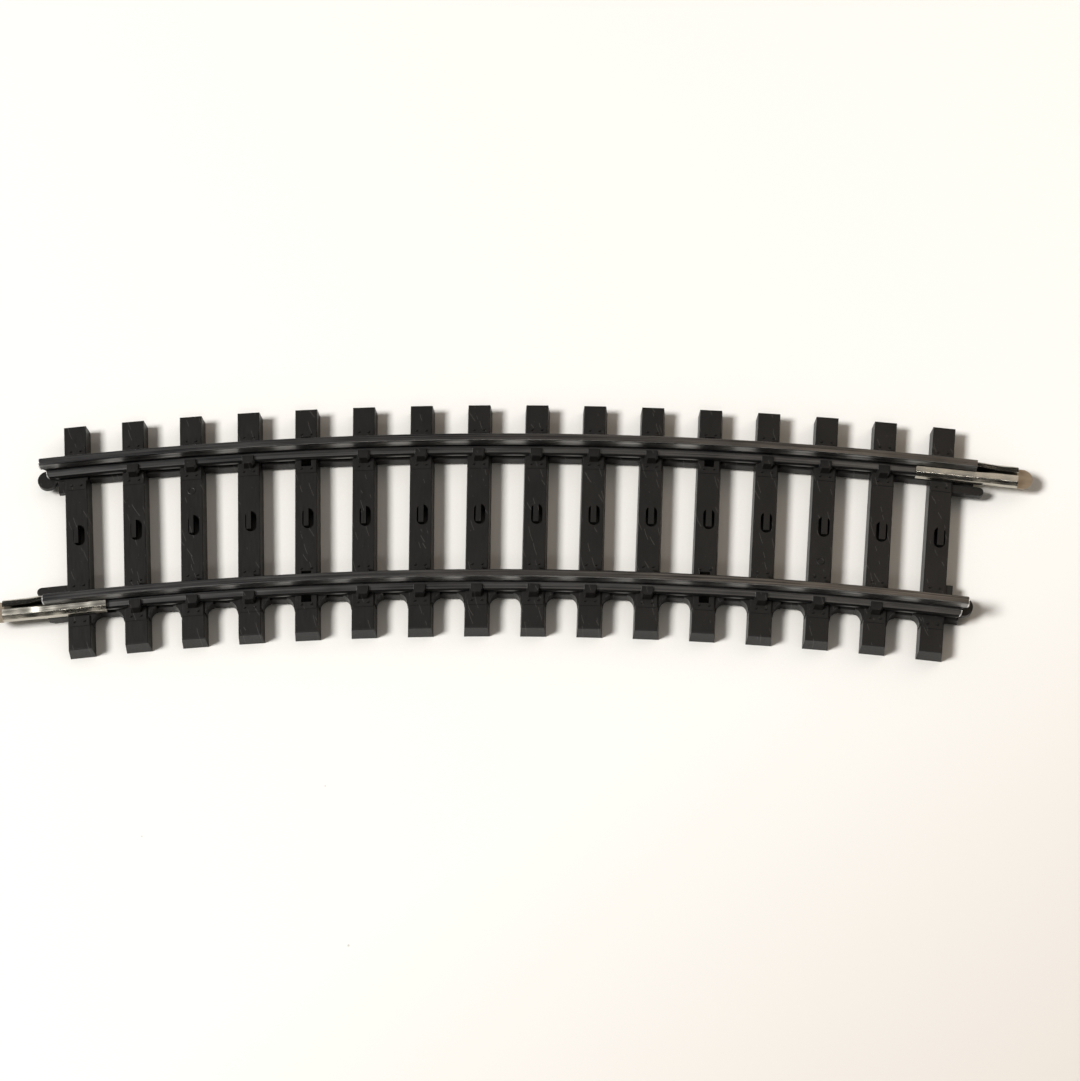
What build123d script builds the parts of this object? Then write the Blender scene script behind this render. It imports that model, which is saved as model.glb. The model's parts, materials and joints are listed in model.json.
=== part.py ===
from build123d import *
from math import cos, radians, sin
import os

# Curved model railway track section: sixteen moulded sleepers, two rails and two rail joiners.
#
# The part lies on Z = 0 with the outside of the curve towards +Y. The origin is under the
# middle of the whole outline. Lengths are in millimetres and angles in degrees.
# Angles along the track are counted from +Y about the centre of the curve, positive towards +X.

# the curve
curve_radius = 420.0
half_angle = 7.25
middle_x = -1.1
middle_y = 1.5

# sleepers
sleeper_count = 16
sleeper_pitch = 0.9
sleeper_width = 2.9
sleeper_length = 29.0
sleeper_height = 2.15
sleeper_draft = 4.4
sleeper_edge_radius = 0.12
ported_sleepers = (5, 12)

# pin pocket in the middle of each sleeper, with a tongue standing in it
pocket_width = 1.3
pocket_length = 2.6
pocket_depth = 1.6
pocket_along = 0.2
tongue_width_first = 0.5
tongue_width_step = 0.016
tongue_slit_first = 0.04
tongue_slit_step = 0.024
tongue_end_gap = 0.36

# rails
rail_spacing = 17.4
seat_height = 2.23
rail_height = 2.54
foot_half = 1.18
foot_edge = 0.3
foot_shoulder = (1.0, 0.5)
web_half = 0.3
web_foot = 0.7
web_head = 1.3
head_half = 0.45
head_depth = 1.12
head_radius = 0.1
rail_end_slant = 0.95

# chairs that hold the rail foot
plate_width = 2.3
plate_half_length = 2.8
clip_width = 1.7
clip_inner = 0.42
clip_shoulder = 1.3
clip_outer = 1.85
clip_nose = 1.1
clip_height = 0.95
clip_taper = 12.0
clip_gap = 0.02
spike_radius = 0.16
spike_height = 0.14
spike_taper = 25.0
spike_along = 0.57
spike_across = 2.25

# square ports beside the rail foot in the ported sleepers
port_width = 1.15
port_inner = 0.95
port_outer = 1.95

# strips that tie the sleepers together under each rail
strip_bottom = 0.5
strip_top = 1.6
strip_half = 1.24
bare_end_strip = 1.5

# webs that fill the corners between the inner strip and the sleepers, on its field side
gusset_top = 2.0
gusset_reach = 0.8
gusset_length = 1.2
gusset_tip = 0.08

# rail joiners; each fold is (distance from the middle, height)
joiner_sheet = 0.14
joiner_floor = (1.36, 2.05)
joiner_wall = (1.36, 2.72)
joiner_crease = (1.0, 3.22)
joiner_lip = (0.38, 3.42)
joiner_bend = 0.16
joiner_grip = 6.8
joiner_free = 4.9
joiner_tip = 6.75
stop_depth = 0.2
stop_radius = 0.25
stop_gap = 0.05
joiner_relief_half = 1.6
joiner_relief_z = 1.93

# locating pegs, one beside each joiner
peg_width = 1.1
peg_across = 2.11
peg_past_rail_end = 1.2
peg_bottom = 1.1
peg_top = 1.9

# round lug on a neck, and a square stub, at each bare rail end; across is towards the gauge side
lug_bottom = 1.3
lug_neck_width = 0.7
lug_right_radius = 1.2
lug_right_across = 0.5
lug_right_past_rail_end = 0.85
lug_left_radius = 1.15
lug_left_across = 0.95
lug_left_past_rail_end = 0.75
stub_length = 0.6
stub_inner = 1.35
stub_outer = 2.9

# worked out from the above
curve_centre = (middle_x, middle_y - curve_radius)
curve_axis = Axis((curve_centre[0], curve_centre[1], 0), (0, 0, 1))
rail_top = seat_height + rail_height
head_underside = rail_top - head_depth
outer_radius = curve_radius + rail_spacing / 2
inner_radius = curve_radius - rail_spacing / 2
last_angle = sleeper_pitch * (sleeper_count - 1) / 2


def sleeper_angle(number):
    """Angle of a sleeper along the track, counted from 1 at the left end."""
    return -last_angle + sleeper_pitch * (number - 1)


def track_plane(radius, angle, height=0.0):
    """Level plane at a place on the track: local X runs along it and local Y outwards."""
    turn = radians(angle)
    origin = (curve_centre[0] + radius * sin(turn), curve_centre[1] + radius * cos(turn), height)
    return Plane(origin=origin, x_dir=(cos(turn), -sin(turn), 0), z_dir=(0, 0, 1))


def radial_plane(angle):
    """Upright plane through the curve's centre: local X is the radius and local Y the height."""
    turn = radians(angle)
    origin = (curve_centre[0], curve_centre[1], 0)
    return Plane(origin=origin, x_dir=(sin(turn), cos(turn), 0), z_dir=(cos(turn), -sin(turn), 0))


def rail_outline(radius, gap=0.0):
    """Closed outline of the rail, with every face moved out by gap."""
    shoulder_x, shoulder_height = foot_shoulder
    half = [
        (foot_half + gap, seat_height - gap),
        (foot_half + gap, seat_height + foot_edge + gap),
        (shoulder_x + gap, seat_height + shoulder_height + gap),
        (web_half + gap, seat_height + web_foot + gap),
        (web_half + gap, rail_top - web_head - gap),
        (head_half + gap, head_underside - gap),
        (head_half + gap, rail_top + gap),
    ]
    right = [(radius + x, z) for x, z in half]
    left = [(radius - x, z) for x, z in reversed(half)]
    return right + left


os.makedirs("parts", exist_ok=True)

# sleepers; a blank is the plain bar before its holes are cut
blanks = []
for number in range(1, sleeper_count + 1):
    base = track_plane(curve_radius, sleeper_angle(number))
    top = base.offset(sleeper_height)
    is_end = number in (1, sleeper_count)
    with BuildPart() as sleeper:
        with BuildSketch(Plane(base.origin, x_dir=base.x_dir, z_dir=-base.y_dir)):
            Trapezoid(sleeper_width, sleeper_height, 90 - sleeper_draft, align=(Align.CENTER, Align.MIN))
        extrude(amount=sleeper_length / 2, both=True)
        with BuildSketch(Plane(base.origin, x_dir=base.y_dir, z_dir=base.x_dir)):
            Trapezoid(sleeper_length, sleeper_height, 90 - sleeper_draft, align=(Align.CENTER, Align.MIN))
        extrude(amount=sleeper_width / 2, both=True, mode=Mode.INTERSECT)
        fillet(sleeper.faces().sort_by(Axis.Z)[-1].edges(), sleeper_edge_radius)
        blanks.append(sleeper.part)
        with BuildSketch(top):
            with Locations((pocket_along, 0)):
                SlotOverall(pocket_length, pocket_width, rotation=90)
            tongue_slit = tongue_slit_first + tongue_slit_step * (number - 1)
            tongue_width = tongue_width_first + tongue_width_step * (number - 1)
            tongue_x = pocket_along - pocket_width / 2 + tongue_slit + tongue_width / 2
            with Locations((tongue_x, tongue_end_gap)):
                Rectangle(tongue_width, pocket_length, mode=Mode.SUBTRACT)
        extrude(amount=-pocket_depth, mode=Mode.SUBTRACT)
        if is_end:
            relief_depth = sleeper_height - joiner_relief_z
            with BuildSketch(top):
                with GridLocations(1, rail_spacing, 1, 2):
                    Rectangle(sleeper_width, 2 * joiner_relief_half)
            extrude(amount=-relief_depth, mode=Mode.SUBTRACT)
        if number in ported_sleepers:
            port_middle = (port_inner + port_outer) / 2
            with BuildSketch(base):
                with GridLocations(1, rail_spacing, 1, 2):
                    with GridLocations(1, 2 * port_middle, 1, 2):
                        Rectangle(port_width, port_outer - port_inner)
            extrude(amount=sleeper_height, mode=Mode.SUBTRACT)
    name = f"sleeper_{number:02d}"
    sleeper.part.label = name
    export_step(sleeper.part, f"parts/{name}.step")

# chairs: a plate, two clips over the rail foot and four spike heads on each sleeper
plate_height = seat_height - sleeper_height
clip_outline = [
    (-clip_width / 2, clip_inner),
    (clip_width / 2, clip_inner),
    (clip_width / 2, clip_shoulder),
    (clip_nose / 2, clip_outer),
    (-clip_nose / 2, clip_outer),
    (-clip_width / 2, clip_shoulder),
]
for name, radius in (("chairs_outer", outer_radius), ("chairs_inner", inner_radius)):
    with BuildPart() as chairs:
        for number in range(1, sleeper_count + 1):
            is_end = number in (1, sleeper_count)
            is_ported = number in ported_sleepers
            seat = track_plane(radius, sleeper_angle(number), sleeper_height)
            with BuildSketch(seat):
                Rectangle(plate_width, 2 * plate_half_length)
                if is_end:
                    Rectangle(plate_width, 2 * joiner_relief_half, mode=Mode.SUBTRACT)
                if is_ported:
                    with GridLocations(1, port_inner + port_outer, 1, 2):
                        Rectangle(port_width, port_outer - port_inner, mode=Mode.SUBTRACT)
            extrude(amount=plate_height)
            with BuildSketch(seat.offset(plate_height)):
                with GridLocations(2 * spike_along, 2 * spike_across, 2, 2):
                    Circle(spike_radius)
            extrude(amount=spike_height, taper=spike_taper)
            if not is_end and not is_ported:
                with BuildSketch(seat.offset(plate_height)):
                    with BuildLine():
                        Polyline(*clip_outline, close=True)
                    make_face()
                    mirror(about=Plane.XZ)
                extrude(amount=clip_height, taper=clip_taper)
        with BuildSketch(radial_plane(half_angle)):
            with BuildLine():
                Polyline(*rail_outline(radius, clip_gap), close=True)
            make_face()
            with Locations((radius, seat_height)):
                Rectangle(4 * foot_half, seat_height, align=(Align.CENTER, Align.MAX), mode=Mode.SUBTRACT)
        revolve(axis=curve_axis, revolution_arc=2 * half_angle, mode=Mode.SUBTRACT)
    chairs.part.label = name
    export_step(chairs.part, f"parts/{name}.step")

# tie strips under the rails, cut to fit between the sleepers
strip_parts = []
strip_depth = strip_top - strip_bottom
to_degrees = 1 / radians(curve_radius)
bare_angle = last_angle + (sleeper_width / 2 + bare_end_strip) * to_degrees
strips = (
    ("tie_strip_outer", outer_radius, bare_angle, half_angle),
    ("tie_strip_inner", inner_radius, half_angle, bare_angle),
)
for name, radius, left_angle, right_angle in strips:
    with BuildPart() as strip:
        with BuildSketch(radial_plane(right_angle)):
            with Locations((radius, strip_bottom)):
                Rectangle(2 * strip_half, strip_depth, align=(Align.CENTER, Align.MIN))
        revolve(axis=curve_axis, revolution_arc=left_angle + right_angle)
        if name == "tie_strip_inner":
            for number in range(1, sleeper_count + 1):
                web_sides = [side for side in (-1, 1) if 1 <= number + side <= sleeper_count]
                far = sleeper_width / 2 + gusset_reach
                end = strip_half + gusset_length
                with BuildSketch(track_plane(radius, sleeper_angle(number), strip_bottom)):
                    for side in web_sides:
                        with Locations((side * far / 2, -end / 2)):
                            Rectangle(far, end)
                    for side in web_sides:
                        with Locations((side * far, -end)):
                            Ellipse(gusset_reach, gusset_length - gusset_tip, mode=Mode.SUBTRACT)
                extrude(amount=gusset_top - strip_bottom)
        for blank in blanks:
            add(blank, mode=Mode.SUBTRACT)
    strip.part.label = name
    export_step(strip.part, f"parts/{name}.step")
    strip_parts.append(strip.part)

# rails, with the web and foot of the bare end cut back on a slant
rails = (("rail_outer", outer_radius, -1), ("rail_inner", inner_radius, 1))
for name, radius, bare_side in rails:
    with BuildPart() as rail:
        with BuildSketch(radial_plane(half_angle)) as outline:
            with BuildLine():
                Polyline(*rail_outline(radius), close=True)
            make_face()
            fillet(outline.vertices().group_by(Axis.Y)[-1], head_radius)
        revolve(axis=curve_axis, revolution_arc=2 * half_angle)
        end = track_plane(radius, bare_side * half_angle)
        with BuildSketch(Plane(end.origin, x_dir=bare_side * end.x_dir, z_dir=-bare_side * end.y_dir)):
            with BuildLine():
                Polyline(
                    (0, head_underside),
                    (rail_end_slant, head_underside),
                    (rail_end_slant, seat_height),
                    (-rail_end_slant, seat_height),
                    close=True,
                )
            make_face()
        extrude(amount=2 * foot_half, both=True, mode=Mode.SUBTRACT)
    rail.part.label = name
    export_step(rail.part, f"parts/{name}.step")

# rail joiners: folded sheet channels, each gripping one rail foot and standing out past its end
folds = [joiner_floor, joiner_wall, joiner_crease, joiner_lip]
inside_half = joiner_floor[0] - joiner_sheet
joiners = (("joiner_right", outer_radius, 1), ("joiner_left", inner_radius, -1))
for name, radius, side in joiners:
    grip_angle = half_angle - (joiner_grip / 2) / radians(radius)
    seat = track_plane(radius, side * grip_angle)
    outward = side * seat.x_dir
    section = Plane(seat.origin, x_dir=side * seat.y_dir, z_dir=outward)
    with BuildPart() as joiner:
        with BuildSketch(section.offset(-joiner_grip / 2)) as channel:
            with BuildLine():
                Polyline(*[(-x, z) for x, z in reversed(folds)], *folds)
                offset(amount=joiner_sheet, side=Side.LEFT, kind=Kind.INTERSECTION)
            make_face()
            fillet(channel.vertices().group_by(Axis.Y)[0], joiner_bend)
        extrude(amount=joiner_grip + joiner_free)
        floor_plane = Plane(seat.origin, x_dir=outward, z_dir=(0, 0, 1)).offset(joiner_floor[1])
        tongue_half = joiner_floor[0] - joiner_bend / 2
        with BuildSketch(floor_plane):
            with Locations((joiner_grip / 2, 0)):
                Rectangle(joiner_tip - tongue_half, 2 * inside_half, align=(Align.MIN, Align.CENTER))
            with Locations((joiner_grip / 2 + joiner_tip - tongue_half, 0)):
                Circle(tongue_half)
        extrude(amount=joiner_sheet)
        stop_x = joiner_grip / 2 + stop_gap + stop_radius
        with BuildSketch(floor_plane.offset(joiner_sheet)):
            with Locations((stop_x, 0)):
                with GridLocations(1, 2 * (inside_half + stop_radius - stop_depth), 1, 2):
                    Circle(stop_radius)
                Rectangle(2 * stop_radius, 2 * inside_half + joiner_sheet, mode=Mode.INTERSECT)
        extrude(amount=foot_edge)
    joiner.part.label = name
    export_step(joiner.part, f"parts/{name}.step")

# locating pegs on the gauge side of each joiner
pegs = (("peg_right", outer_radius, 1, -1, blanks[-1]), ("peg_left", inner_radius, -1, 1, blanks[0]))
for name, radius, side, gauge, blank in pegs:
    peg_length = radians(half_angle - last_angle) * radius + peg_past_rail_end
    with BuildPart() as peg:
        with BuildSketch(track_plane(radius, side * last_angle, peg_bottom)):
            with Locations((side * peg_length / 2, gauge * peg_across)):
                SlotOverall(peg_length, peg_width)
        extrude(amount=peg_top - peg_bottom)
        fillet(peg.faces().sort_by(Axis.Z)[-1].edges(), sleeper_edge_radius)
        add(blank, mode=Mode.SUBTRACT)
    peg.part.label = name
    export_step(peg.part, f"parts/{name}.step")

# a round lug on a neck, and a square stub, at each bare rail end
lugs = (
    ("lug_right", inner_radius, 1, blanks[-1], lug_right_radius, lug_right_across, lug_right_past_rail_end),
    ("lug_left", outer_radius, -1, blanks[0], lug_left_radius, lug_left_across, lug_left_past_rail_end),
)
for name, radius, side, blank, lug_radius, lug_across, past_rail_end in lugs:
    reach = sleeper_width / 2 + stub_length
    lug_along = radians(half_angle - last_angle) * radius + past_rail_end - lug_radius
    with BuildPart() as lug:
        with BuildSketch(track_plane(radius, side * last_angle, lug_bottom)):
            with Locations((side * reach / 2, side * (stub_inner + stub_outer) / 2)):
                Rectangle(reach, stub_outer - stub_inner)
            with Locations((side * lug_along, side * lug_across)):
                Circle(lug_radius)
            with Locations((side * lug_along / 2, side * lug_across)):
                Rectangle(lug_along, lug_neck_width)
        extrude(amount=peg_top - lug_bottom)
        add(blank, mode=Mode.SUBTRACT)
        for strip_part in strip_parts:
            add(strip_part, mode=Mode.SUBTRACT)
    lug.part.label = name
    export_step(lug.part, f"parts/{name}.step")
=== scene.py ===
import bpy
import json
import math
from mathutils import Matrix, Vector


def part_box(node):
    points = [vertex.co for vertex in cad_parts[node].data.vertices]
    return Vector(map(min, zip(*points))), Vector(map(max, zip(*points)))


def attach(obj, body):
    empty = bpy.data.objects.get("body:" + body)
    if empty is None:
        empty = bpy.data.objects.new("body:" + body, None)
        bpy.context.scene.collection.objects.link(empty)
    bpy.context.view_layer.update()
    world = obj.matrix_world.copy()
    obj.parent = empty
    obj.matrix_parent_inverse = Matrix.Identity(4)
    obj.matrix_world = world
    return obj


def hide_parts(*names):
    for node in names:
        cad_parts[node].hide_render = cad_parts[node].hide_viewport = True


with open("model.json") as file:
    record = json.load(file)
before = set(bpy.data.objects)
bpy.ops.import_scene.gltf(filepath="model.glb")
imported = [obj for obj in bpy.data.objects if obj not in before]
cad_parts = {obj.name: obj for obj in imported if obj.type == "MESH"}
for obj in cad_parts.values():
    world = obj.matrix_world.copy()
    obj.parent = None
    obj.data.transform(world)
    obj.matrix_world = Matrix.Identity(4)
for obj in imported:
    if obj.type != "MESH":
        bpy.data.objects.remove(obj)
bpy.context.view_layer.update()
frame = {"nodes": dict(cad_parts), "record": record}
record = frame["record"]

MM = 0.001
UP = Vector((0, 0, 1))
RAIL_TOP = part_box("rail_outer")[1].z / MM     # height of the rails' running surface, in mm
mounts = {mount["name"]: mount for mount in record["mounts"]}


def centre_of_curve():
    """Where the radii through the two bare rail ends that the record states cross."""
    right = mounts["rail_end_right"]
    left = mounts["rail_end_left"]
    start = Vector(right["pos_m"][:2])
    gap = Vector(left["pos_m"][:2]) - start
    right_radius = Vector((-right["axis"][1], right["axis"][0]))
    left_radius = Vector((-left["axis"][1], left["axis"][0]))
    det = right_radius.x * left_radius.y - right_radius.y * left_radius.x
    return start + right_radius * ((gap.x * left_radius.y - gap.y * left_radius.x) / det)


CENTRE = centre_of_curve()
MIDDLE_RADIUS = (Vector(mounts["running_rails"]["pos_m"][:2]) - CENTRE).length


# ---------------------------------------------------------------- node helpers
def link(tree, source, target):
    tree.links.new(source, target)


def math_node(tree, operation, *values, clamp=False):
    node = tree.nodes.new("ShaderNodeMath")
    node.operation = operation
    node.use_clamp = clamp
    for socket, value in zip(node.inputs, values):
        if isinstance(value, (int, float)):
            socket.default_value = value
        else:
            link(tree, value, socket)
    return node.outputs[0]


def weighted(tree, first, first_weight, second, second_weight, clamp=False):
    return math_node(tree, "ADD", math_node(tree, "MULTIPLY", first, first_weight),
                     math_node(tree, "MULTIPLY", second, second_weight), clamp=clamp)


def parts_of(tree, vector):
    node = tree.nodes.new("ShaderNodeSeparateXYZ")
    link(tree, vector, node.inputs[0])
    return node.outputs


def tinted(tree, colour, factor):
    """One colour multiplied by another."""
    mix = tree.nodes.new("ShaderNodeMix")
    mix.data_type = "RGBA"
    mix.blend_type = "MULTIPLY"
    mix.inputs["Factor"].default_value = 1.0
    link(tree, colour, mix.inputs["A"])
    link(tree, factor, mix.inputs["B"])
    return mix.outputs["Result"]


def ramp_node(tree, value, stops):
    """stops is a list of (position, grey or colour)."""
    node = tree.nodes.new("ShaderNodeValToRGB")
    elements = node.color_ramp.elements
    while len(elements) < len(stops):
        elements.new(0.5)
    for element, (position, colour) in zip(elements, stops):
        element.position = position
        if isinstance(colour, (int, float)):
            colour = (colour, colour, colour)
        element.color = (*colour, 1)
    link(tree, value, node.inputs[0])
    return node.outputs[0]


def noise_node(tree, vector, detail, scale=1.0):
    node = tree.nodes.new("ShaderNodeTexNoise")
    node.inputs["Scale"].default_value = scale
    node.inputs["Detail"].default_value = detail
    link(tree, vector, node.inputs["Vector"])
    return node.outputs["Fac"]


def stretch(tree, vector, factors):
    node = tree.nodes.new("ShaderNodeVectorMath")
    node.operation = "MULTIPLY"
    node.inputs[1].default_value = factors
    link(tree, vector, node.inputs[0])
    return node.outputs[0]


def track_place(tree):
    """Place on the track in millimetres: along the curve, outwards from its middle line, and up."""
    coordinates = tree.nodes.new("ShaderNodeTexCoord")
    parts = parts_of(tree, coordinates.outputs["Object"])
    x = math_node(tree, "SUBTRACT", parts[0], CENTRE.x)
    y = math_node(tree, "SUBTRACT", parts[1], CENTRE.y)
    angle = math_node(tree, "ARCTAN2", x, y)
    squares = math_node(tree, "ADD", math_node(tree, "MULTIPLY", x, x), math_node(tree, "MULTIPLY", y, y))
    outwards = math_node(tree, "SUBTRACT", math_node(tree, "SQRT", squares), MIDDLE_RADIUS)
    joined = tree.nodes.new("ShaderNodeCombineXYZ")
    link(tree, math_node(tree, "MULTIPLY", angle, MIDDLE_RADIUS / MM), joined.inputs[0])
    link(tree, math_node(tree, "MULTIPLY", outwards, 1 / MM), joined.inputs[1])
    link(tree, math_node(tree, "MULTIPLY", parts[2], 1 / MM), joined.inputs[2])
    return joined.outputs[0]


def new_material(name, **values):
    material = bpy.data.materials.new(name)
    material.use_nodes = True
    shader = material.node_tree.nodes["Principled BSDF"]
    for key, value in values.items():
        shader.inputs[key].default_value = value
    return material, material.node_tree, shader


# ---------------------------------------------------------------- materials
# Noise is stretched by cycles per millimetre (along, outwards, up). Most of it stays between 0.3 and 0.7.
LOW, HIGH = 0.3, 0.7

PLASTIC_DARK = (0.0068, 0.0064, 0.0060)
PLASTIC_LIGHT = (0.0105, 0.0096, 0.0088)
PLASTIC_MARK = (0.075, 0.072, 0.068, 1)
SPECK_LIMIT = 0.79           # noise above this is a light speck
SCRATCH_BEND = 0.12
STEEP_SCRATCHES = {"turn": -0.28, "spacing": 1.6, "length": 1.1, "width": 0.022, "kept": 0.45}
SLANTED_SCRATCHES = {"turn": -0.52, "spacing": 2.6, "length": 0.9, "width": 0.028, "kept": 0.35}

RAIL_DARK = (0.10, 0.10, 0.103)
RAIL_LIGHT = (0.37, 0.364, 0.354)
# Painted light by height, as a share of the rail's top: painted shade on the foot and web, a painted
# reflection on the side of the head.
RAIL_PAINTED_SHEEN_AND_SHADE = [(0.66, 0.38), (0.75, 0.62), (0.78, 1.0), (0.94, 1.0), (0.985, 0.64)]

JOINER_DARK = (0.44, 0.415, 0.36)
JOINER_LIGHT = (0.56, 0.53, 0.465)

# The first paper colour is painted shade for close corners, the second is the open paper.
PAPER_PAINTED_SHADE = (0.60, 0.585, 0.55)
PAPER_OPEN = (0.88, 0.874, 0.855)
PAINTED_SHADE_REACH = 12            # how far the painted shade in close corners reaches, in mm
GRIT_PER_MM = 0.22
GRIT_SIZE = 0.055
GRIT_RARITY = 5.0            # a higher power leaves fewer large specks
PAINTED_FALLOFF_SOUTH_EAST = [(0.3, 1.0), (0.9, (0.85, 0.80, 0.76))]    # painted light falloff, by tenths of a metre from the middle


def bump_node(tree, shader, height, strength, depth):
    """depth is in millimetres."""
    bump = tree.nodes.new("ShaderNodeBump")
    bump.inputs["Strength"].default_value = strength
    bump.inputs["Distance"].default_value = depth * MM
    link(tree, height, bump.inputs["Height"])
    link(tree, bump.outputs[0], shader.inputs["Normal"])


def scratch_mask(tree, place, turn, spacing, length, width, kept):
    """Short, nearly straight scratches at one slant to the sleepers, at most one in each cell."""
    spin = tree.nodes.new("ShaderNodeVectorRotate")
    spin.rotation_type = "Z_AXIS"
    spin.inputs["Angle"].default_value = turn
    link(tree, place, spin.inputs["Vector"])
    flat = stretch(tree, spin.outputs[0], (1 / spacing, 1 / spacing, 0.0))
    cells = tree.nodes.new("ShaderNodeTexVoronoi")
    cells.inputs["Scale"].default_value = 1.0
    link(tree, flat, cells.inputs["Vector"])
    gap = tree.nodes.new("ShaderNodeVectorMath")
    gap.operation = "SUBTRACT"
    link(tree, flat, gap.inputs[0])
    link(tree, cells.outputs["Position"], gap.inputs[1])
    parts = parts_of(tree, gap.outputs[0])
    chance = parts_of(tree, cells.outputs["Color"])
    bend = math_node(tree, "MULTIPLY", math_node(tree, "MULTIPLY", parts[1], parts[1]), SCRATCH_BEND)
    off = math_node(tree, "ABSOLUTE", math_node(tree, "SUBTRACT", parts[0], bend))
    thin = math_node(tree, "LESS_THAN", off, width / spacing)
    reach = math_node(tree, "MULTIPLY", chance[1], length / spacing)
    short = math_node(tree, "LESS_THAN", math_node(tree, "ABSOLUTE", parts[1]), reach)
    shown = math_node(tree, "LESS_THAN", chance[0], kept)
    return math_node(tree, "MULTIPLY", math_node(tree, "MULTIPLY", thin, short), shown)


def make_base_plastic():
    """Near-black moulded plastic: satin, finely scratched, with a few light specks."""
    material, tree, shader = new_material("base_plastic")
    shader.inputs["Specular IOR Level"].default_value = 0.33
    place = track_place(tree)
    cloud = noise_node(tree, stretch(tree, place, (0.35, 0.2, 0.35)), 4.0)
    grain = noise_node(tree, stretch(tree, place, (7.0, 0.45, 7.0)), 3.0)
    fine = noise_node(tree, place, 2.0, scale=9.0)
    specks = math_node(tree, "GREATER_THAN", noise_node(tree, place, 1.0, scale=4.5), SPECK_LIMIT)
    scratches = math_node(tree, "ADD", scratch_mask(tree, place, **STEEP_SCRATCHES),
                          scratch_mask(tree, place, **SLANTED_SCRATCHES), clamp=True)
    marks = weighted(tree, scratches, 0.7, specks, 0.4, clamp=True)
    mix = tree.nodes.new("ShaderNodeMix")
    mix.data_type = "RGBA"
    link(tree, marks, mix.inputs["Factor"])
    link(tree, ramp_node(tree, cloud, [(LOW, PLASTIC_DARK), (HIGH, PLASTIC_LIGHT)]), mix.inputs["A"])
    mix.inputs["B"].default_value = PLASTIC_MARK
    link(tree, mix.outputs["Result"], shader.inputs["Base Color"])
    link(tree, ramp_node(tree, grain, [(LOW, 0.36), (HIGH, 0.5)]), shader.inputs["Roughness"])
    bump_node(tree, shader, weighted(tree, grain, 0.6, fine, 0.4), 0.3, 0.04)
    return material


def make_rail_metal():
    """Drawn rail: dull warm grey metal with lines along its length, with painted shade on the foot and web
    and a painted reflection on the side of the head.
    """
    material, tree, shader = new_material("rail_metal", Metallic=1.0)
    place = track_place(tree)
    lines = noise_node(tree, stretch(tree, place, (0.1, 9.0, 9.0)), 3.0)
    cloud = noise_node(tree, stretch(tree, place, (0.18, 0.8, 0.8)), 3.0)
    bands = noise_node(tree, stretch(tree, place, (0.04, 5.0, 5.0)), 3.0)
    tone = weighted(tree, cloud, 0.35, bands, 0.65)
    colour = ramp_node(tree, tone, [(0.36, RAIL_DARK), (0.64, RAIL_LIGHT)])
    # Painted light: the colour is darkened on the foot and web as painted shade and brightened on the head's
    # side as a painted reflection.
    height = math_node(tree, "DIVIDE", parts_of(tree, place)[2], RAIL_TOP)
    painted_sheen_and_shade = ramp_node(tree, height, RAIL_PAINTED_SHEEN_AND_SHADE)
    link(tree, tinted(tree, colour, painted_sheen_and_shade), shader.inputs["Base Color"])
    link(tree, ramp_node(tree, lines, [(LOW, 0.26), (HIGH, 0.34)]), shader.inputs["Roughness"])
    bump_node(tree, shader, bands, 0.35, 0.05)
    return material


def make_joiner_metal():
    """Folded nickel-silver sheet: pale warm metal with drawing lines."""
    material, tree, shader = new_material("joiner_metal", Metallic=1.0)
    place = track_place(tree)
    lines = noise_node(tree, stretch(tree, place, (0.2, 6.0, 6.0)), 3.0)
    colour = ramp_node(tree, lines, [(LOW, JOINER_DARK), (HIGH, JOINER_LIGHT)])
    link(tree, colour, shader.inputs["Base Color"])
    link(tree, ramp_node(tree, lines, [(LOW, 0.21), (HIGH, 0.3)]), shader.inputs["Roughness"])
    bump_node(tree, shader, lines, 0.15, 0.03)
    return material


def make_dull_metal(name, dark, light):
    """Unpolished metal, for the inside and tongue of a joiner and for burrs; the inside's copy is darkened as
    painted shade, and the tongue's is tinted warm as a painted reflection.
    """
    material, tree, shader = new_material(name, Metallic=1.0)
    cloud = noise_node(tree, stretch(tree, track_place(tree), (0.5, 2.0, 2.0)), 3.0)
    link(tree, ramp_node(tree, cloud, [(LOW, dark), (HIGH, light)]), shader.inputs["Base Color"])
    link(tree, ramp_node(tree, cloud, [(LOW, 0.55), (HIGH, 0.4)]), shader.inputs["Roughness"])
    return material


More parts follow.
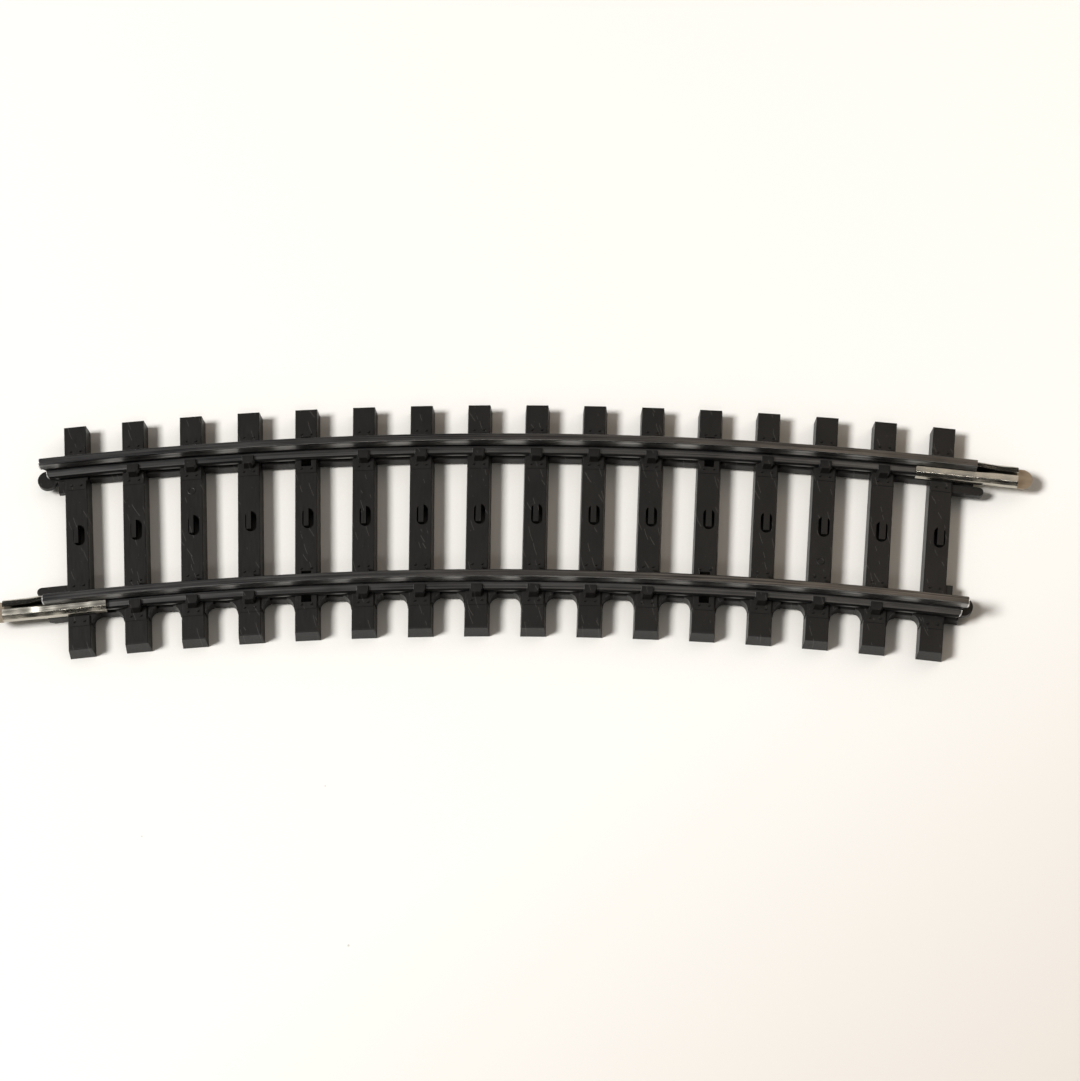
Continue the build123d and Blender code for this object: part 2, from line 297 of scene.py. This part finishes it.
def make_paper():
    """Plain warm-white floor, with painted shade in close corners and a painted light falloff to the
    south-east, and a few specks.
    """
    material, tree, shader = new_material("paper", Roughness=0.9)
    shader.inputs["Specular IOR Level"].default_value = 0.2
    # Painted shade: ambient occlusion darkens the floor's colour in close corners and under the track.
    painted_corner_shade = tree.nodes.new("ShaderNodeAmbientOcclusion")
    painted_corner_shade.samples = 4
    painted_corner_shade.inputs["Distance"].default_value = PAINTED_SHADE_REACH * MM
    cells = tree.nodes.new("ShaderNodeTexVoronoi")
    cells.inputs["Scale"].default_value = GRIT_PER_MM
    link(tree, track_place(tree), cells.inputs["Vector"])
    rare = math_node(tree, "POWER", cells.outputs["Color"], GRIT_RARITY)
    size = math_node(tree, "MULTIPLY", rare, GRIT_SIZE)
    grit = math_node(tree, "LESS_THAN", cells.outputs["Distance"], size)
    clean = math_node(tree, "SUBTRACT", 1.0, math_node(tree, "MULTIPLY", grit, 0.7))
    painted_shade_and_grit = math_node(tree, "MULTIPLY", painted_corner_shade.outputs["AO"], clean)
    colour = ramp_node(tree, painted_shade_and_grit, [(0.15, PAPER_PAINTED_SHADE), (0.95, PAPER_OPEN)])
    # Painted light falloff: the floor's colour darkens towards the south-east, standing in for weaker light
    # there.
    spot = tree.nodes.new("ShaderNodeNewGeometry")
    parts = parts_of(tree, spot.outputs["Position"])
    east = math_node(tree, "MULTIPLY", parts[0], 0.55)
    away = math_node(tree, "SUBTRACT", east, math_node(tree, "MULTIPLY", parts[1], 0.83))
    painted_falloff = ramp_node(tree, math_node(tree, "MULTIPLY", away, 10.0), PAINTED_FALLOFF_SOUTH_EAST)
    link(tree, tinted(tree, colour, painted_falloff), shader.inputs["Base Color"])
    return material


MATERIALS = {
    "base_plastic": make_base_plastic(),
    "rail_metal": make_rail_metal(),
    "joiner_metal": make_joiner_metal(),
}
# Painted shade: a much darker copy of the joiner metal on the sheet's inner faces, so the slot inside reads
# black.
JOINER_INSIDE_PAINTED_SHADE = make_dull_metal("joiner_inside_painted_shade", (0.060, 0.052, 0.040), (0.14, 0.125, 0.10))
CUT_METAL = make_dull_metal("rail_cut_metal", (0.55, 0.55, 0.545), (0.85, 0.85, 0.84))
# The tongue's copy is duller because it is the sheet's unpolished inner face, and its warm tan is a painted
# reflection of warm room light.
JOINER_TONGUE_DULL_PAINTED_WARMTH = make_dull_metal("joiner_tongue_dull_painted_warmth", (0.34, 0.285, 0.22), (0.42, 0.35, 0.27))
SLOT_OF = {row["node"]: row["material_slot"] for row in record["subparts"]}
for name, node in frame["nodes"].items():
    for slot in node.material_slots:
        slot.material = MATERIALS[SLOT_OF[name]]


# ---------------------------------------------------------------- rail joiners
SHEET = 0.14                 # thickness of the folded sheet, and the other lengths here, in mm
GRIP_LENGTH = 6.8            # the part of a joiner that holds its own rail
FREE_LENGTH = 4.9            # the folded part that stands out past the rail's end
TONGUE_TIP = 6.7             # how far the flat tongue reaches past the rail's end
TONGUE_INSET = 0.02          # the tongue is this much narrower than the channel's floor
# Folds of one half of the sheet, from the floor up to the lip, as (side, height).
GRIP_FOLDS = ((1.36, 2.06), (1.36, 2.70), (1.00, 3.20), (0.38, 3.40))
FREE_FOLDS = ((1.26, 1.98), (1.29, 2.58), (0.92, 3.10), (0.22, 3.30))
FOLD_RADII = (0.16, 0.10, 0.10)
NARROWING = (0.1, 2.6)       # the channel narrows between these distances past the rail's end
WAVES = ((0.018, 1.3), (0.012, 3.1))     # height and pace of the waves in the creases
STATIONS = 64
CORNER_STEPS = 4
TONGUE_STEPS = 24
SHARP_EDGE = 38              # in degrees


def smooth(value, low, high):
    """0 below low, 1 above high and an even curve between them."""
    t = min(max((value - low) / (high - low), 0.0), 1.0)
    return t * t * (3 - 2 * t)


def round_corners(points, radii):
    """The open line through points, with each inner corner rounded by its radius."""
    line = [points[0]]
    for before, corner, after, radius in zip(points, points[1:], points[2:], radii):
        start = corner + (before - corner).normalized() * radius
        end = corner + (after - corner).normalized() * radius
        for step in range(CORNER_STEPS + 1):
            t = step / CORNER_STEPS
            line.append(start * (1 - t) ** 2 + corner * 2 * t * (1 - t) + end * t ** 2)
    line.append(points[-1])
    return line


def sheet_outline(folds):
    """Closed outline of the sheet: the folded line, and the same line moved in by its thickness."""
    half = [Vector(point) for point in folds]
    points = [Vector((-point.x, point.y)) for point in reversed(half)] + half
    outer = round_corners(points, (*reversed(FOLD_RADII), *FOLD_RADII))
    inner = []
    for index, point in enumerate(outer):
        along = (outer[min(index + 1, len(outer) - 1)] - outer[max(index - 1, 0)]).normalized()
        inner.append(point + Vector((-along.y, along.x)) * SHEET)
    return outer + inner[::-1]


def folds_at(along, phase):
    """The sheet's folds at one distance past the rail's end, with their small waves."""
    blend = smooth(along, *NARROWING)
    folds = [[g + (f - g) * blend for g, f in zip(grip, free)] for grip, free in zip(GRIP_FOLDS, FREE_FOLDS)]
    wobble = sum(size * math.sin(pace * along + times * phase) for times, (size, pace) in enumerate(WAVES, 1))
    folds[2][1] += wobble
    folds[2][0] += wobble * 0.8
    folds[3][1] += wobble * 0.6
    folds[1][1] -= wobble * 0.7
    return folds


def tongue_outline():
    """The flat tongue from above, with a round tip, as (along, side)."""
    half = FREE_FOLDS[0][0] - TONGUE_INSET
    outline = [(FREE_LENGTH, -half)]
    for step in range(TONGUE_STEPS + 1):
        turn = math.pi * (step / TONGUE_STEPS - 0.5)
        outline.append((TONGUE_TIP - half + half * math.cos(turn), half * math.sin(turn)))
    outline.append((FREE_LENGTH, half))
    return outline


def mesh_piece(name, vertices, faces, slot_name):
    mesh = bpy.data.meshes.new(name)
    mesh.from_pydata([tuple(vertex) for vertex in vertices], [], faces)
    mesh.update()
    piece = bpy.data.objects.new(name, mesh)
    bpy.context.scene.collection.objects.link(piece)
    mesh.materials.append(MATERIALS[slot_name])
    return piece


def add_joiner(name, node, body, mount, phase):
    """A folded channel with slightly wavy creases, and a round-ended tongue at its free end."""
    outward = Vector(mounts[mount]["axis"])
    across = UP.cross(outward)
    rail_end = Vector(mounts[mount]["pos_m"]) - outward * FREE_LENGTH * MM

    def place(along, side, height):
        flat = rail_end + outward * along * MM + across * side * MM
        return Vector((flat.x, flat.y, height * MM))

    vertices, faces = [], []
    for station in range(STATIONS + 1):
        along = -GRIP_LENGTH + (GRIP_LENGTH + FREE_LENGTH) * station / STATIONS
        ring = [place(along, side, height) for side, height in sheet_outline(folds_at(along, phase))]
        vertices += ring
    count = len(ring)
    for row in range(STATIONS):
        for k in range(count):
            a, b = row * count + k, row * count + (k + 1) % count
            faces.append((a, b, b + count, a + count))
    last = STATIONS * count
    for k in range(count // 2 - 1):
        a, b, c, d = k, k + 1, count - 2 - k, count - 1 - k
        faces.append((a, d, c, b))
        faces.append((last + a, last + b, last + c, last + d))
    first_tongue_face = len(faces)
    outline = tongue_outline()
    first = len(vertices)
    floor = FREE_FOLDS[0][1]
    for height in (floor, floor + SHEET):
        ids = tuple(range(len(vertices), len(vertices) + len(outline)))
        vertices += [place(along, side, height) for along, side in outline]
        faces.append(ids if height > floor else ids[::-1])
    for k in range(len(outline)):
        a, b = first + k, first + (k + 1) % len(outline)
        faces.append((a, b, b + len(outline), a + len(outline)))

    piece = mesh_piece(name, vertices, faces, "joiner_metal")
    # The inner faces get the painted shade copy of the joiner metal.
    piece.data.materials.append(JOINER_INSIDE_PAINTED_SHADE)
    # The tongue gets the duller copy, tinted warm as a painted reflection.
    piece.data.materials.append(JOINER_TONGUE_DULL_PAINTED_WARMTH)
    for face in piece.data.polygons:
        face.use_smooth = True
        if face.index < last:
            face.material_index = 1 if face.index % count >= count // 2 else 0
        elif face.index >= first_tongue_face:
            face.material_index = 2
    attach(piece, body)
    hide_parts(node)
    edges = piece.modifiers.new("edges", "EDGE_SPLIT")
    edges.split_angle = math.radians(SHARP_EDGE)


add_joiner("joiner_right_sheet", "joiner_right", "right_joiner", "rail_joint_right", 0.4)
add_joiner("joiner_left_sheet", "joiner_left", "left_joiner", "rail_joint_left", 2.9)


# ---------------------------------------------------------------- ejector marks and burrs
BEAD_SIDES = 8
MARK_OFFSET = 4.45           # how far the ejector marks are from the sleepers' middles, in mm
MARK_RADIUS = 0.40
MARK_BEAD = 0.08
MARK_FLATNESS = 0.8
MARK_STEPS = 28
BURR_STEPS = 7               # along each straight run of a burr's path
# Paths of the burrs in mm: along the track past the rail's end, side towards the south, height.
HEAD_BURR = ((0.05, -0.36, 4.67), (0.05, 0.30, 4.67), (0.05, 0.43, 4.60),
             (0.05, 0.46, 4.30), (0.03, 0.45, 3.74))
FOOT_BURR = ((-0.46, 0.45, 2.90), (-0.51, 0.80, 2.82), (-0.58, 1.02, 2.72), (-0.71, 1.16, 2.52))
HEAD_BURR_RADIUS = 0.09
FOOT_BURR_RADIUS = 0.08


def add_ring(name, node, offset):
    """A small raised ring left by an ejector pin on the top of a sleeper."""
    low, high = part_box(node)
    middle = Vector(((low.x + high.x) / 2, (low.y + high.y) / 2))
    spot = middle + (middle - CENTRE).normalized() * offset * MM
    vertices, faces = [], []
    total = MARK_STEPS * BEAD_SIDES
    for k in range(MARK_STEPS):
        turn = 2 * math.pi * k / MARK_STEPS
        for j in range(BEAD_SIDES):
            roll = 2 * math.pi * j / BEAD_SIDES
            radius = (MARK_RADIUS + MARK_BEAD * math.cos(roll)) * MM
            vertices.append((spot.x + radius * math.cos(turn), spot.y + radius * math.sin(turn),
                             high.z + MARK_BEAD * MM * (math.sin(roll) * MARK_FLATNESS)))
            a, b = k * BEAD_SIDES + j, k * BEAD_SIDES + (j + 1) % BEAD_SIDES
            faces.append((a, (a + BEAD_SIDES) % total, (b + BEAD_SIDES) % total, b))
    piece = mesh_piece(name, vertices, faces, "base_plastic")
    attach(piece, "track")


def add_burr(name, end, outward, path, thickness):
    """A thin uneven bead of bright metal left by the saw at a rail's end."""
    across = UP.cross(outward)
    if across.y > 0:
        across = -across
    line = []
    for first, second in zip(path, path[1:]):
        line += [Vector(first).lerp(Vector(second), k / BURR_STEPS) for k in range(BURR_STEPS)]
    line.append(Vector(path[-1]))
    vertices, faces = [], []
    for k, (along, side, height) in enumerate(line):
        taper = min(1.0, 0.3 + 0.35 * min(k, len(line) - 1 - k))
        radius = thickness * taper * (0.75 + 0.25 * math.sin(2.1 * k))
        for j in range(BEAD_SIDES):
            roll = 2 * math.pi * j / BEAD_SIDES
            spot = end + (outward * (radius * math.cos(roll) + along) + across * side) * MM
            vertices.append((spot.x, spot.y, (height + radius * math.sin(roll)) * MM))
            if k:
                a, b = (k - 1) * BEAD_SIDES + j, (k - 1) * BEAD_SIDES + (j + 1) % BEAD_SIDES
                faces.append((a, b, b + BEAD_SIDES, a + BEAD_SIDES))
    faces.append(tuple(range(BEAD_SIDES))[::-1])
    faces.append(tuple(range(len(vertices) - BEAD_SIDES, len(vertices))))
    piece = mesh_piece(name, vertices, faces, "rail_metal")
    piece.data.materials[0] = CUT_METAL
    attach(piece, "track")


# Each burred end, with its mount and how far the rail's end is inside that mount. The foot of the
# left inner rail is hidden in its joiner, so only its head has a burr.
for name, mount, inset in (("left_outer", "rail_end_left", 0),
                           ("left_inner", "rail_joint_left", FREE_LENGTH),
                           ("right_inner", "rail_end_right", 0)):
    outward = Vector(mounts[mount]["axis"])
    end = Vector(mounts[mount]["pos_m"]) - outward * inset * MM
    add_burr("rail_head_burr_" + name, end, outward, HEAD_BURR, HEAD_BURR_RADIUS)
    if not inset:
        add_burr("rail_foot_burr_" + name, end, outward, FOOT_BURR, FOOT_BURR_RADIUS)
add_ring("ejector_mark_left", "sleeper_03", MARK_OFFSET)
add_ring("ejector_mark_right", "sleeper_14", -MARK_OFFSET)


# ---------------------------------------------------------------- stage, light and camera
FLOOR_SIZE = 5.0
FLOOR_DROP = 0.01            # keeps the floor just under the track, in mm
# Brightness of the room by direction: 0 is level and 1 is a little north of straight up.
SKY = [(0.0, 0.008), (0.72, 0.018), (0.9, (0.145, 0.15, 0.16)), (0.98, 0.19)]
CAMERA_PLACE = (8.33, -120.51, 245.51)      # in mm
CAMERA_TURN = (25.980, 1.109, 0.136)        # in degrees
CAMERA_LENS = 78.72


def add_floor():
    bpy.ops.mesh.primitive_plane_add(size=FLOOR_SIZE, location=(0, 0, -FLOOR_DROP * MM))
    floor = bpy.context.object
    floor.name = "floor"
    floor.data.materials.append(make_paper())


def add_softbox(name, place, width, height, power, colour, target=(0, 0, 0)):
    """A lit rectangle at place that faces target."""
    data = bpy.data.lights.new(name, "AREA")
    data.shape = "RECTANGLE"
    data.size = width
    data.size_y = height
    data.energy = power
    data.color = colour
    light = bpy.data.objects.new(name, data)
    light.location = place
    light.rotation_euler = (Vector(target) - Vector(place)).to_track_quat("-Z", "Y").to_euler()
    bpy.context.scene.collection.objects.link(light)


def add_world():
    """Dim room with a bright patch a little north of straight up."""
    world = bpy.data.worlds.new("world")
    world.use_nodes = True
    tree = world.node_tree
    coordinates = tree.nodes.new("ShaderNodeTexCoord")
    parts = parts_of(tree, coordinates.outputs["Generated"])
    toward = weighted(tree, parts[1], 0.2, parts[2], 0.98)
    link(tree, ramp_node(tree, toward, SKY), tree.nodes["Background"].inputs["Color"])
    bpy.context.scene.world = world


def add_camera():
    """Held above the track, leaning 26 degrees back from straight down."""
    data = bpy.data.cameras.new("camera")
    data.sensor_fit = "VERTICAL"
    data.sensor_height = 36
    data.lens = CAMERA_LENS
    data.clip_start = 0.01
    camera = bpy.data.objects.new("camera", data)
    camera.location = [length * MM for length in CAMERA_PLACE]
    camera.rotation_mode = "YXZ"
    camera.rotation_euler = [math.radians(angle) for angle in CAMERA_TURN]
    bpy.context.scene.collection.objects.link(camera)
    bpy.context.scene.camera = camera


add_floor()
add_world()
add_softbox("key_light", (-0.983, -0.263, 1.235), 0.44, 0.44, 32.5, (1.0, 0.988, 0.965))
add_softbox("fill_light", (0.05, -0.7, 0.83), 0.16, 0.10, 0.72, (1.0, 0.96, 0.9))
add_softbox("warm_card", (0.27, 0.45, 1.04), 0.44, 0.55, 0.44, (1.0, 0.76, 0.52))
add_softbox("lip_card", (0.24, -0.06, 1.05), 0.34, 0.46, 0.42, (1.0, 0.88, 0.74))
add_softbox("warm_bounce", (0.17, 0.10, 0.12), 0.10, 0.10, 0.055, (1.0, 0.82, 0.62), target=(0.05, 0, 0))
add_camera()
bpy.context.scene.view_settings.view_transform = "Standard"
